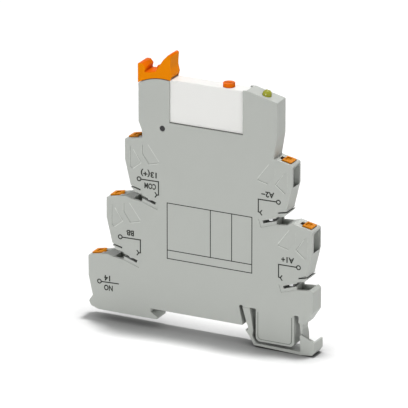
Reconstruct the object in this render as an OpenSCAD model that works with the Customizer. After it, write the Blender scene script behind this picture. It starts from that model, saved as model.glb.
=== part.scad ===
// Slim plug-in interface relay for a 35 mm top-hat rail.
// Frame: X across the rail (coil side to the right), Y through the thickness
// (printed side to -Y), Z away from the rail. The origin is the middle of the
// rail seat, at mid thickness.

/* [Housing] */
// Thickness of the whole module
housing_t = 6.2; // [6.2:0.1:7]
// Thickness of the moulded walls
wall = 0.8; // [0.7:0.05:0.85]
// Radius on the corners of the outline
corner_r = 0.6; // [0.3:0.1:0.8]

/* [Rail seat] */
// Width of the rail that the module clips on
rail_w = 35; // [34.8:0.1:35.2]
// Thickness of the rail's flange, with room to slide
flange_gap = 1.1; // [1:0.1:1.3]
// Depth of the fixed foot below the seat
base_drop = 3.4; // [3.2:0.1:4]
// How far the fixed hook reaches under the flange
hook_reach = 2.4; // [2:0.1:2.8]

/* [Terminal levels] */
// Height from one terminal level to the next
level_rise = 21; // [20.6:0.1:21.4]
// Height of the upper level's outer corner above the rail seat
top_level_z = 57; // [56.5:0.1:58]
// Reach of the upper level on the contact side
left_reach = 26.6; // [26.4:0.1:27.2]
// Step outwards of each lower level on the contact side
left_step = 6.75; // [6.6:0.05:6.9]
// Reach of the upper level on the coil side
right_reach = 33.1; // [32.8:0.1:33.6]
// Step outwards of each lower level on the coil side
right_step = 7.3; // [7.1:0.05:7.4]
// Width of the blank lowest step outside the spring foot's slot
blank_w = 5.1; // [4.8:0.1:5.4]
// Slope of the terminals' top faces, in degrees
top_tilt = 12; // [10:1:13]
// Height of a terminal's upright outer wall
level_wall_h = 7; // [6.8:0.1:7.6]

/* [Push-in terminals] */
// Lean of the conductor channel from upright, in degrees
channel_tilt = 40; // [38:1:42]
// Width of the conductor channel
channel_w = 4.4; // [4.3:0.1:4.6]
// Thickness of the release button across its stem
button_w = 2.9; // [2.6:0.1:3]
// Length of the release button along the thickness of the module
button_l = 4; // [3.6:0.1:4.1]
// How far the release button stands out of the top face
button_proud = 0.45; // [0.3:0.05:0.6]
// Travel of the release button
button_travel = 1.2; // [1:0.1:1.25]
// Thickness of the clamping spring's strip
leaf_t = 0.35; // [0.3:0.01:0.4]
// Thickness of the current bars
bar_t = 0.7; // [0.6:0.05:0.75]

/* [Relay] */
// Length of the plug-in relay
relay_l = 28; // [27.8:0.1:28.2]
// Thickness of the plug-in relay
relay_t = 5; // [4.9:0.05:5.1]
// Height of the plug-in relay
relay_h = 15; // [14.8:0.1:15.4]
// Middle of the relay along X
relay_x = 2.46; // [2.3:0.02:2.6]
// Wall of the relay's case
relay_wall = 0.5; // [0.4:0.05:0.55]
// Diameter of the test button
test_d = 3.9; // [3.6:0.1:3.9]
// Height of the test button above the relay
test_h = 1.3; // [1:0.1:1.4]
// Travel of the test button
test_travel = 0.7; // [0.5:0.1:0.8]

/* [Ejector lever] */
// Pivot of the lever along X
pivot_x = -13.1; // [-13.3:0.05:-13]
// Radius of the lever's pivot pin
pivot_r = 0.95; // [0.9:0.05:1.15]
// Radius of the tower's rounded top, about the pivot
tower_r = 16.55; // [16.3:0.05:16.6]
// Length of the lever's toe from the pivot
toe_l = 5.2; // [5:0.1:5.4]
// Height of the lever's tip above the tower's rounded top
head_h = 7.6; // [7.2:0.1:8]

/* [Indicator] */
// Diameter of the indicator lens
lens_d = 3.1; // [2.6:0.1:3.3]
// Height of the lens's dome
lens_dome_h = 1.5; // [1.2:0.1:1.5]

/* [Spring foot] */
// Travel of the foot
foot_travel = 0.85; // [0.7:0.05:0.9]
// Depth of the foot's bottom bar below the rail seat
foot_drop = 6.8; // [6.6:0.1:7.2]
// Thickness of the foot's bottom bar
foot_bar_t = 1.2; // [1:0.1:1.3]

/* [Hidden] */

$fn = 48;
left = -1;
right = 1;
base_level = 2;
cut = 1;
half_t = housing_t / 2;
inner_y = half_t - wall;
fillet_steps = 4;

// Colours of the mouldings and metals
grey = "#b0b3ae";
orange = "#eb8200";
white = "#e6e5e3";
copper = "#c8855a";
tinned = "#c9cacb";
steel = "#8f9296";
amber = "#aaaa14";
board_green = "#2f6b45";
black = "#2b2b2b";

// Shared clearances
slide_gap = 0.1;
run_gap = 0.05;
relay_gap = 0.06;
case_lift = 0.95;
end_gap = 0.2;

// Outline of one level, measured inwards from its outer wall and up from its corner
level_drop = 15.4;
level_tuck = 2;
step_w = 6.9;
soft_r = 0.3;
fine_r = 0.2;
ramp_in = 9.1;
ramp_z = 0.75;
pocket_in = 12.9;
pocket_floor_z = 0.4;
pocket_top_z = 2.9;
tab_in = 10.3;
tab_in_z = 3.35;
tab_out = 9;
tab_out_z = 4.65;

// Bridge slot and marker slit above each lower level
slot_out = 12.7;
slot_out_z = 2;
slot_in = 17.7;
slot_in_z = 0.4;
slot_h = 0.95;
slit_out = 8;
slit_out_z = 5.35;
slit_in = 12.3;
slit_in_z = 4.3;
slit_h = 0.42;

// Well under each junction, for the body of a plug-in bridge
well_out = 9.4;
well_in = 13.4;
well_drop = 2.3;
well_y = 2.3;

// Conductor channel and spring room, along the channel (u) and across it (w)
mouth_drop = 4;
mouth_l = 6;
room_l = 9.6;
partition_t = 0.55;
ledge_u = 0.6;
shoulder_w = 0.75;
shoulder_gap_u = 0.3;
button_foot_u = 3.15;
button_end_gap = 0.15;
channel_l = button_foot_u + button_travel + button_end_gap;
test_gap_w = 1.05;
test_hole_y = 1.1;
button_top_u = 5;
channel_half = channel_w / 2;
shoulder_in = channel_half + partition_t + slide_gap;
button_in = shoulder_in + shoulder_w;
button_out = button_in + button_w;
room_out = button_out + test_gap_w;
recess_w = 1.7;
recess_y = 1.2;
recess_h = 0.5;

// Clamping spring, as places along and across the channel
leaf_bend_r = 0.6;
leaf_leg_u = room_l - bar_t - leaf_t / 2 - run_gap / 2;
leaf_foot_w = 1.2;
leaf_top_w = room_out - leaf_t;
leaf_shoulder_drop = 1.2;
leaf_back_u = 5.2;
leaf_press_u = button_foot_u + leaf_t + slide_gap;
leaf_press_w = 5.4;
leaf_turn_u = 0.35;
leaf_turn_w = 4.3;
leaf_tip_u = 6.8;
leaf_tip_gap = 0.3;
spring_y = 1.8;

// Current bars
bar_start_u = 5.6;
bar_end_w = 3.4;
bar_y = 1.7;
bar_web_y = 2.2;
tine_y = 1.4;
tail_w = 1.3;
tail_in = 15.2;
tail_top_z = -9.2;
tail_web_z = -13;
tail_tip_z = 0.95;
branch_z = -12;
low_branch_z = -10.6;
branch_t = 0.8;
branch_y = 1.2;
bar_gap = 0.1;

// Shallow recesses of the printed side, as shares of a level's height
face_depth = 0.16;
rim_h = 2.8;
rim_end = 1.1;
rim_low = 0.25;
tongue_rim = 0.7;
tongue_rim_top = 5.5;
slot_slope = (slot_out_z - slot_in_z) / (slot_in - slot_out);
spring_bay_shares = [[0.41, -0.075], [0.53, -0.058], [0.805, -0.425], [0.56, -0.487], [0.41, -0.275]];
wire_bay_shares = [[0.125, -0.122], [0.2, -0.208], [0.39, -0.461], [0.172, -0.64], [0.125, -0.6]];

// Relay bay, window and sockets
relay_rise = 7.15;
relay_z = top_level_z + relay_rise;
relay_top = relay_z + relay_h;
relay_left = relay_x - relay_l / 2;
relay_right = relay_x + relay_l / 2;
seat_gap = 0.05;
bay_floor = relay_z - seat_gap;
window_lip = 0.98;
window_sill = 0.5;
pin_com_in = 8.34;
pin_a1_in = 6.16;
coil_pin_step = 4.6;
pin_com = relay_left + pin_com_in;
pin_step = 5;
pin_nc_step = 2;
pin_no = pin_com + pin_step;
pin_a1 = relay_right - pin_a1_in;
pin_a2 = pin_a1 + coil_pin_step;
pin_nc = pin_com - pin_nc_step;
pin_w = 0.5;
pin_d = 1;
pin_l = 3.6;
socket_half = 1;
socket_drop = 5.2;
socket_leaf = 0.35;
socket_y = 1.3;
socket_base_h = 0.6;
socket_gap = 0.06;

// Towers
tower_left = 21.66;
tower_left_z = 63.7;
tower_foot_x = 20.5;
tower_foot_z = 60.8;
tower_right = 27.7;
tower_right_z = 65.9;
tower_rise = 0.55;
tower_fall = 2.5;
tower_top_r = relay_top + tower_rise;
tower_low_r = tower_top_r - tower_fall;
tower_flat_in = 0.85;
tower_inner_in = 6.3;
lever_room_floor = 60.3;
toe_room_gap = 0.9;
toe_room_drop = 3.5;
board_room_floor = 60.2;
board_room_wall = 1;

// Base, tongue and foot of the moulding
heel_x = 40;
heel_z = -0.9;
heel_low_x = 39.2;
heel_low_z = -2.5;
base_left = 36.5;
waist_in = 1.5;
waist_drop = 13.8;
hook_tip_h = 0.9;
half_rail = rail_w / 2;
slot1_in = 1.8;
slot1_x = half_rail - slot1_in;
slot1_lean = 1.35;
slot1_top_x = slot1_x - slot1_lean;
slot1_top_z = 6.8;
slot1_w = 1.2;
arm_root_z = 6.2;
arm_root_in = 1.9;
arm_root_x = half_rail - arm_root_in;
arm_root_w = 2.6;
arm_foot_z = 0.9;
arm_foot_in = 0.4;
arm_foot_x = half_rail - arm_foot_in;
arm_foot_w = 2;
arm_knee_in = 0.65;
arm_knee_x = half_rail - arm_knee_in;
arm_knee_z = 2;
tongue_out = 2.8;
tongue_w = 13.6;
tongue_left = half_rail + tongue_out;
tongue_right = tongue_left + tongue_w;
tongue_z = -4.6;
tongue_r = 1.5;
right_slot_w = 1.6;
right_slot_top = 6.4;
outer_arm_w = 1.1;
outer_arm_root_z = 4;
outer_arm_waist_w = 0.75;
outer_arm_waist_z = 1.6;
outer_arm_foot_z = -0.4;
outer_arm_lean = 0.45;
outer_arm_foot_w = 0.95;
outer_arm_y = 2.1;
outer_arm_x = tongue_right + right_slot_w;
blank_foot_out = 2.4;
blank_foot_x = outer_arm_x + blank_foot_out;
blank_reach = outer_arm_x + blank_w;
blank_chamfer_z = 8.3;
blank_top_z = 16.1;
blank_side_z = 15.3;
blank_top_in = 0.8;
blank_ramp_in = 0.5;
claw_gap = 0.15;
claw_z = flange_gap + claw_gap;
claw_lip_h = 0.4;
claw_back_x = half_rail + run_gap;
claw_clear = 0.1;
claw_reach = foot_travel - claw_clear;
foot_waist_out = 1.85;
foot_waist_x = half_rail + foot_waist_out;
foot_waist_z = -1.1;
foot_hollow_out = 1.6;
foot_hollow_x = half_rail + foot_hollow_out;
foot_hollow_z = -3.2;
foot_in_out = 2.9;
foot_in_x = half_rail + foot_in_out;
foot_out_out = 2.2;
foot_out_x = half_rail + foot_out_out;
foot_out_z = -6.2;
claw_low_out = 0.6;
claw_low_x = half_rail + claw_low_out;
claw_low_z = -3.3;
block_out = 0.7;
block_w = 5.1;
block_x = outer_arm_x + block_out;
block_apex_in = 0.2;
block_apex_x = block_x + block_apex_in;
block_apex_z = 0.3;
block_end_x = block_x + block_w;
block_tip_in = 0.4;
block_tip_x = block_end_x - block_tip_in;
block_tip_z = -1.6;
block_wall = 0.7;
block_plate_y = 1;
block_floor_z = -4.4;
block_chamfer = 0.9;
block_slope_in = 2.1;
block_slope_x = block_end_x - block_slope_in;
block_slope_z = -0.95;

// Lever, measured from its pivot
pivot_drop = 1.75;
nose_gap = 0.35;
pivot_z = relay_z - pivot_drop;
nose_z = relay_top + nose_gap - pivot_z;
boss_r = 2;
lever_gap = 0.18;
lever_y = 2;
head_y = half_t - run_gap;
head_left = 8.8;
head_right = 3.35;
nose_in = 1.35;
nose_low = 2.8;
cheek_h = 0.6;
arm_left = 1.5;
arm_right = 1.1;
toe_tip_r = 0.5;
toe_tip_z = 1.1;
toe_under_z = 0.9;
// Head outline above its underside, as shares of the head's width and height
head_top_shares = [
    [1.0, 0.40], [0.957, 0.60], [0.955, 0.72], [0.975, 0.955], [0.94, 1.0],
    [0.89, 0.995], [0.75, 0.832], [0.52, 0.45], [0.34, 0.4], [0.2, 0.385],
    [0.2, 0.42], [0.225, 0.53], [0.135, 0.64], [0.02, 0.63], [0, 0.6]
];
head_round_r = 0.25;
nib_share = 0.395;
nib_foot_share = 0.39;
nib_w = 0.8;
nib_h = 1;
nib_y = 1.4;

// Indicator and board
lens_x = 22.75;
lens_y = -0.4;
lens_rim_h = 0.4;
lens_stem_l = 1.5;
chip_w = 2.6;
chip_h = 2.4;
chip_y = 1.7;
board_t = 0.8;
board_y = 0.7;
board_top_gap = 3.2;
rectifier_w = 4.6;
rectifier_h = 4;
rectifier_d = 1.8;
rectifier_rise = 1.2;
resistor_w = 3;
resistor_h = 1.5;
resistor_d = 0.6;
resistor_rise = 7;
resistor_step = 2.6;
part_in = 1.6;

// Inside the relay
base_t = 1.2;
relay_in_y = relay_t / 2 - relay_wall;
base_top = relay_z + base_t;
yoke_t = 0.9;
yoke_y = 1.6;
yoke_wall_x = relay_right - relay_wall - yoke_t - fine_r;
flange_w = 0.8;
coil_left = 4.7;
coil_right = 14.1;
bobbin_h = 8.4;
bobbin_y = 1.9;
core_h = 4;
core_y = 0.6;
core_out = 0.65;
tube_t = 0.4;
winding_h = 7.2;
winding_y = 1.85;
armature_t = 0.75;
armature_gap = 0.5;
armature_y = 1.6;
armature_h = 9.6;
card_h = 1.2;
card_drop = 0.1;
card_y = 1.2;
neck_y = 0.7;
card_over = 0.6;
blade_t = 0.2;
blade_y = 1.2;
blade_low_gap = 0.4;
rivet_r = 0.7;
rivet_drop = 1.9;
contact_gap = 0.4;
blade_step = 2;
foot_strip_h = 0.4;
com_top_over = 0.3;
plunger_r = 1;
plunger_gap = 0.1;
bow_t = 0.25;
bow_y = 1.2;
test_x = 9.2;

// Pegs that hold the cover, in the solid parts of the moulding
peg_r = 0.9;
peg_l = 2.6;
peg_gap = 0.03;
peg_low_share = 0.21;
peg_mid_share = 0.56;
peg_high_share = 0.93;
peg_side_share = 0.72;
cover_low_z = 0.8;
cover_foot_z = 7.4;
cover_foot_in = 0.75;
cover_foot_x = slot1_top_x - cover_foot_in;

function reach(side, i) = side < 0 ? left_reach + i * left_step : right_reach + i * right_step;
function corner_z(i) = top_level_z - i * level_rise;
function level_point(side, i, x, z, r) = [side * (reach(side, i) - x), corner_z(i) + z, r];
function last_of(list) = len(list) - 1;
function reversed(list) = [for (k = [last_of(list):-1:0]) list[k]];
function unit(v) = v / norm(v);
function angle_of(v) = atan2(v[1], v[0]);
function turn(a) = a > 180 ? a - 360 : a < -180 ? a + 360 : a;

// A corner at b between a and c, rounded with radius r
function fillet(a, b, c, r) = r <= 0 ? [b] :
    let (u = unit(a - b), v = unit(c - b), half = acos(u * v) / 2,
         centre = b + unit(u + v) * r / sin(half),
         first = b + u * r / tan(half) - centre,
         last = b + v * r / tan(half) - centre,
         sweep = turn(angle_of(last) - angle_of(first)))
    [for (k = [0:fillet_steps])
        centre + r * [cos(angle_of(first) + sweep * k / fillet_steps),
                      sin(angle_of(first) + sweep * k / fillet_steps)]];

function flat(p) = [p[0], p[1]];
// A closed outline of [x, z, radius] points with its corners rounded
function rounded(points) = [
    for (k = [0:len(points) - 1])
        each fillet(flat(points[(k + len(points) - 1) % len(points)]), flat(points[k]),
                    flat(points[(k + 1) % len(points)]), points[k][2])];
// An open path with every bend rounded alike
function soft_path(points, r) = [
    points[0],
    for (k = [1:last_of(points) - 1]) each fillet(points[k - 1], points[k], points[k + 1], r),
    points[last_of(points)]];

function normal_of(a, b) = let (d = unit(b - a)) [-d[1], d[0]];
function mitre(path, k) =
    let (n = len(path), before = k > 0 ? normal_of(path[k - 1], path[k]) : normal_of(path[0], path[1]),
         after = k < n - 1 ? normal_of(path[k], path[k + 1]) : normal_of(path[n - 2], path[n - 1]))
    (before + after) / (1 + before * after);
// Outline of a strip of thickness t that follows a path
function strip(path, t) = concat(
    [for (k = [0:len(path) - 1]) path[k] + mitre(path, k) * t / 2],
    [for (k = [len(path) - 1:-1:0]) path[k] - mitre(path, k) * t / 2]);

// A flat shape in X and Z, given thickness from y0 to y1
module slab(y0, y1) translate([0, y1, 0]) rotate([90, 0, 0]) linear_extrude(height = y1 - y0) children();
module centred_slab(y) slab(-y, y) children();
module rect(x0, z0, x1, z1) translate([x0, z0]) square([x1 - x0, z1 - z0]);

module at_level(side, i) translate([side * reach(side, i), corner_z(i)])
    if (side > 0) mirror([1, 0]) children(); else children();
module at_channel(side, i) at_level(side, i)
    translate([0, -mouth_drop]) rotate(channel_tilt - 90) children();

// The step from a lower level's corner up to the wall of the level above
function junction(side, i) = concat([
    level_point(side, i, 0, 0, corner_r),
    level_point(side, i, step_w, step_w * tan(top_tilt), soft_r),
    level_point(side, i, ramp_in, ramp_z, soft_r)],
    pocket(side, i));
function pocket(side, i) = [
    level_point(side, i, pocket_in, pocket_floor_z, fine_r),
    level_point(side, i, pocket_in, pocket_top_z, soft_r),
    level_point(side, i, tab_in, tab_in_z, fine_r),
    level_point(side, i, tab_out, tab_out_z, 0),
    level_point(side, i - 1, level_tuck, -level_drop, soft_r),
    level_point(side, i - 1, 0, -level_wall_h, corner_r)];

blank_top_x = blank_reach - blank_top_in;
function base_points() = [
    [-base_left, -base_drop, corner_r],
    [-half_rail + hook_reach, -base_drop, soft_r],
    [-half_rail + hook_reach, -base_drop + hook_tip_h, soft_r],
    [-half_rail, -flange_gap, 0],
    [-half_rail, 0, 0],
    [slot1_x, 0, fine_r],
    [slot1_top_x, arm_root_z, soft_r],
    [slot1_top_x + fine_r, slot1_top_z, soft_r],
    [slot1_top_x + slot1_w, slot1_top_z, soft_r],
    [arm_root_x, arm_root_z, 0],
    [arm_root_x + arm_root_w, arm_root_z, 0],
    [arm_root_x + arm_root_w, right_slot_top, 0],
    [tongue_left, right_slot_top, soft_r],
    [tongue_left, tongue_z, tongue_r],
    [tongue_right, tongue_z, tongue_r],
    [tongue_right, right_slot_top, soft_r],
    [outer_arm_x, right_slot_top, soft_r],
    [outer_arm_x, outer_arm_root_z, 0],
    [blank_foot_x, outer_arm_root_z, soft_r],
    [blank_reach, blank_chamfer_z, corner_r],
    [blank_reach, blank_side_z, soft_r],
    [blank_top_x, blank_top_z, soft_r],
    [min(reach(right, base_level) - ramp_in, blank_top_x - blank_ramp_in),
     corner_z(base_level) + ramp_z, soft_r]];

function tower_points() = [
    level_point(right, 0, 0, 0, corner_r),
    level_point(right, 0, step_w - soft_r, (step_w - soft_r) * tan(top_tilt), soft_r),
    [tower_right, tower_right_z, corner_r],
    [tower_right, tower_low_r, soft_r],
    [relay_right + tower_flat_in, tower_top_r, soft_r],
    [relay_right - window_lip, tower_top_r - fine_r, fine_r],
    [-tower_left, tower_top_r - fine_r, 0],
    [-tower_left, tower_left_z, corner_r],
    [-tower_foot_x, tower_foot_z, soft_r],
    level_point(left, 0, tower_inner_in, tower_inner_in * tan(top_tilt), soft_r),
    level_point(left, 0, 0, 0, corner_r)];

function heel_points() = [
    level_point(left, 2, 0, -level_wall_h, corner_r),
    level_point(left, 2, waist_in, -waist_drop, corner_r),
    [-heel_x, heel_z, corner_r],
    [-heel_low_x, heel_low_z, corner_r]];

function housing_points() = concat(
    base_points(), pocket(right, 2), junction(right, 1), tower_points(),
    reversed(junction(left, 1)), reversed(junction(left, 2)), heel_points());

junctions = [[left, 1], [left, 2], [right, 1], [right, 2]];
// Side view of the moulding, with the left tower's top round about the lever's pivot
module housing_outline() difference() {
    polygon(rounded(housing_points()));
    difference() {
        rect(-tower_left - cut, tower_left_z, relay_left + window_lip + cut, tower_top_r + cut);
        translate([pivot_x, pivot_z]) circle(r = tower_r);
    }
    rect(relay_left + window_lip, relay_z + window_sill, relay_right - window_lip, tower_top_r + cut);
    for (place = junctions) at_level(place[0], place[1]) bridge_slot();
    for (place = junctions) at_level(place[0], place[1]) marker_slit();
}
module bridge_slot() polygon(strip([[slot_out, slot_out_z], [slot_in, slot_in_z]], slot_h));
module marker_slit() polygon(strip([[slit_out, slit_out_z], [slit_in, slit_in_z]], slit_h));
module bridge_well() rect(well_out, -well_drop, well_in, pocket_top_z - soft_r);

widest = max(reach(left, 2), reach(right, 1), blank_reach) + cut;
function bay_outline(shares) = rounded([for (s = shares) [s[0] * level_drop, s[1] * level_drop, soft_r]]);
module face_recesses() {
    for (t = tailed) at_level(t[0], t[1]) {
        polygon(bay_outline(spring_bay_shares));
        polygon(bay_outline(wire_bay_shares));
    }
    for (place = junctions) at_level(place[0], place[1]) translate([0, -rim_low]) polygon(strip([
            [slot_out - rim_end, slot_out_z + rim_end * slot_slope],
            [slot_in + rim_end, slot_in_z - rim_end * slot_slope]], rim_h));
}
module tongue_rim_shape() difference() {
    rect(tongue_left - run_gap, tongue_z - run_gap, tongue_right + run_gap, tongue_rim_top);
    polygon(rounded([
        [tongue_left + tongue_rim, tongue_rim_top + cut, 0],
        [tongue_left + tongue_rim, tongue_z + tongue_rim, tongue_r - fine_r],
        [tongue_right - tongue_rim, tongue_z + tongue_rim, tongue_r - fine_r],
        [tongue_right - tongue_rim, tongue_rim_top + cut, 0]]));
}
module cover_area() {
    rect(-widest, cover_low_z, cover_foot_x, tower_top_r + cut);
    rect(cover_foot_x - cut, cover_foot_z, widest, tower_top_r + cut);
}

// Room for the conductor, the button and the spring of one terminal
module channel_shape() {
    rect(-mouth_l, -channel_half, channel_l, channel_half);
    rect(bar_start_u, -channel_half - bar_t, room_l, channel_half);
    rect(channel_l, -channel_half, room_l, room_out);
    rect(ledge_u, shoulder_in - slide_gap, channel_l + slide_gap, room_out);
    rect(-mouth_l, button_in - slide_gap, ledge_u + slide_gap, button_out + slide_gap);
}
module test_hole(side, i) at_channel(side, i) rect(-mouth_l, button_out, ledge_u + slide_gap, room_out);
module terminal_room(side, i) at_channel(side, i) channel_shape();

function tail_x(side, i) = side * (reach(side, i + 1) - tail_in);
function tail_tip(i) = corner_z(i + 1) + tail_tip_z;

module tail_shape(side, i, grow) rect(tail_x(side, i) - tail_w / 2 - grow, tail_tip(i) - grow,
    tail_x(side, i) + tail_w / 2 + grow, corner_z(i) + tail_top_z + grow);
module web_shape(side, i) rect(tail_x(side, i) - tail_w / 2, corner_z(i) + tail_web_z,
    tail_x(side, i) + tail_w / 2, corner_z(i) + tail_top_z);
function branch_path(side, i, drop, pin) = [
    [tail_x(side, i), corner_z(i) + drop], [pin, corner_z(i) + drop], [pin, relay_z - socket_drop]];
module branch_shape(side, i, drop, pin, grow)
    polygon(strip(branch_path(side, i, drop, pin), branch_t + grow + grow));

module bar_shape(side, i) at_channel(side, i) polygon(strip(
    [[bar_start_u, -channel_half - bar_t / 2], [room_l - bar_t / 2, -channel_half - bar_t / 2],
     [room_l - bar_t / 2, bar_end_w]], bar_t));

// side, level, drop of the branch, pin that the branch feeds
branches = [[left, 0, branch_z, pin_com], [left, 2, low_branch_z, pin_no],
            [right, 0, branch_z, pin_a2], [right, 1, branch_z, pin_a1]];
terminals = [[left, 0], [left, 1], [left, 2], [right, 0], [right, 1]];
tailed = [[left, 0], [left, 1], [right, 0], [right, 1]];

module socket_room(pin) rect(pin - socket_half, relay_z - socket_drop, pin + socket_half, bay_floor + cut);

peg_places = [
    [-left_reach * peg_side_share, level_rise * peg_mid_share], [0, level_rise * peg_mid_share + level_rise],
    [right_reach * peg_mid_share, level_rise * peg_side_share * 2],
    [-left_reach * peg_low_share * 2, top_level_z * peg_high_share],
    [(pin_no + pin_a1) / 2, top_level_z * peg_high_share],
    [right_reach * peg_mid_share, level_rise * peg_mid_share]];

module lever_room() {
    rect(-tower_left + board_room_wall, lever_room_floor, relay_left + cut, tower_top_r + cut);
    rect(pivot_x, pivot_z + toe_tip_z - toe_room_drop + toe_under_z,
         pivot_x + toe_l + toe_tip_r + toe_room_gap, relay_z + cut);
}
module board_room() rect(relay_right + board_room_wall, board_room_floor,
    tower_right - board_room_wall, tower_low_r - board_room_wall - soft_r);

// The top of the right tower, as a frame at the lens with its own Z square to the slope
tower_slope = atan((tower_top_r - tower_low_r) / (tower_right - relay_right - tower_flat_in));
function slope_z(x) = tower_low_r + (tower_right - x) * tan(tower_slope);
module on_slope(x) translate([x, 0, slope_z(x)]) rotate([0, tower_slope, 0]) children();

module housing_shell() color(grey) difference() {
    union() {
        slab(-half_t, inner_y) housing_outline();
        slab(inner_y, half_t) difference() {
            housing_outline();
            cover_area();
        }
    }
    centred_slab(test_hole_y) for (t = terminals) test_hole(t[0], t[1]);
    slab(-half_t - cut, -half_t + face_depth) {
        face_recesses();
        tongue_rim_shape();
    }
    slab(-inner_y, inner_y + cut) {
        for (t = terminals) terminal_room(t[0], t[1]);
        for (t = tailed) tail_shape(t[0], t[1], bar_gap);
        lever_room();
        board_room();
    }
    centred_slab(well_y) {
        for (place = junctions) at_level(place[0], place[1]) bridge_well();
        rect(reach(right, base_level) - well_in, corner_z(base_level) - well_drop,
             blank_top_x - blank_ramp_in, blank_top_z + cut);
    }
    slab(-branch_y - bar_gap, inner_y + cut)
        for (b = branches) branch_shape(b[0], b[1], b[2], b[3], bar_gap);
    slab(-bar_web_y - bar_gap / 2, inner_y + cut) low_web_shape(left, 2, bar_gap);
    slab(-socket_y - bar_gap, inner_y + cut)
        for (pin = [pin_com, pin_no, pin_a1, pin_a2]) socket_room(pin);
    slab(-socket_y - bar_gap, inner_y + cut)
        rect(pin_nc - socket_half / 2, relay_z - pin_l - socket_gap, pin_nc + socket_half / 2, relay_z + cut);
    relay_bay();
    for (p = peg_places) translate([p[0], inner_y + cut, p[1]])
        rotate([90, 0, 0]) cylinder(r = peg_r + peg_gap, h = peg_l + cut + peg_gap);
    pivot_hole();
    on_slope(lens_x) translate([0, lens_y, 0])
        cylinder(r = lens_d / 2 + run_gap, h = (lens_stem_l + cut) * 2, center = true);
}
module relay_bay() centred_slab(relay_t / 2 + relay_gap)
    rect(relay_left - end_gap, bay_floor, relay_right + end_gap, relay_top + cut * 3);
module pivot_hole() translate([pivot_x, 0, pivot_z]) rotate([90, 0, 0])
    cylinder(r = pivot_r, h = housing_t + cut * 2, center = true);

module side_cover() color(grey) difference() {
    union() {
        slab(inner_y, half_t) intersection() {
            housing_outline();
            cover_area();
        }
        for (p = peg_places) translate([p[0], half_t - wall / 2, p[1]])
            rotate([90, 0, 0]) cylinder(r = peg_r, h = peg_l + wall / 2);
    }
    relay_bay();
    pivot_hole();
}

module lever_pivot_pin() color(black) translate([pivot_x, 0, pivot_z]) rotate([90, 0, 0])
    cylinder(r = pivot_r, h = housing_t - wall / 2, center = true);

// Lever: head over the tower, arm down to the pivot, toe under the relay
head_w = head_left + head_right;
under_r = tower_r + lever_gap;
head_base_z = sqrt(under_r * under_r - head_left * head_left);
head_full_h = head_h + under_r - head_base_z;
function head_place(share) = [share[0] * head_w - head_left, head_base_z + share[1] * head_full_h];
function head_outline(low) = concat(
    [[-head_left, 0, 0], [nose_in, 0, 0], [nose_in, low, 0], [nose_low, low, 0]],
    [for (p = head_top_shares) [head_place(p)[0], head_place(p)[1], head_round_r]]);
module head_shape(low) difference() {
    polygon(rounded(head_outline(low)));
    circle(r = under_r, $fn = 96);
}
module ejector_lever() color(orange) translate([pivot_x, 0, pivot_z]) difference() {
    union() {
        centred_slab(head_y) head_shape(nose_z);
        for (side = [0, 1]) mirror([0, side, 0])
            slab(relay_t / 2 + slide_gap, head_y) head_shape(nose_z - cheek_h);
        centred_slab(lever_y) {
            rect(-arm_left, 0, arm_right, under_r + soft_r);
            circle(r = boss_r);
            polygon([[0, toe_tip_z + toe_tip_r - fine_r], [toe_l, toe_tip_z + toe_tip_r],
                     [toe_l, toe_tip_z - toe_tip_r], [0, -boss_r + fine_r]]);
            translate([toe_l, toe_tip_z]) circle(r = toe_tip_r);
        }
        slab(head_y - nib_y, head_y) translate(head_place([nib_share, nib_foot_share]))
            polygon([[-nib_w / 2, -nib_h], [nib_w / 2, -nib_h], [nib_w / 2, 0], [0, nib_h], [-nib_w / 2, 0]]);
    }
    rotate([90, 0, 0]) cylinder(r = pivot_r + run_gap, h = housing_t, center = true);
}

// Spring foot: two flexing arms, and the claw, bar and pull block that move together
module foot_arm_inner() color(grey) centred_slab(half_t) polygon([
    [arm_root_x, arm_root_z], [arm_root_x + arm_root_w, arm_root_z],
    [arm_foot_x + arm_foot_w, arm_foot_z], [arm_foot_x, arm_foot_z], [arm_knee_x, arm_knee_z]]);
module foot_arm_outer() color(grey) centred_slab(outer_arm_y) polygon([
    [outer_arm_x, outer_arm_root_z], [outer_arm_x + outer_arm_w, outer_arm_root_z],
    [outer_arm_x + fine_r + outer_arm_waist_w, outer_arm_waist_z],
    [outer_arm_x + outer_arm_lean + outer_arm_foot_w, outer_arm_foot_z],
    [outer_arm_x + outer_arm_lean, outer_arm_foot_z],
    [outer_arm_x + fine_r, outer_arm_waist_z]]);

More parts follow.
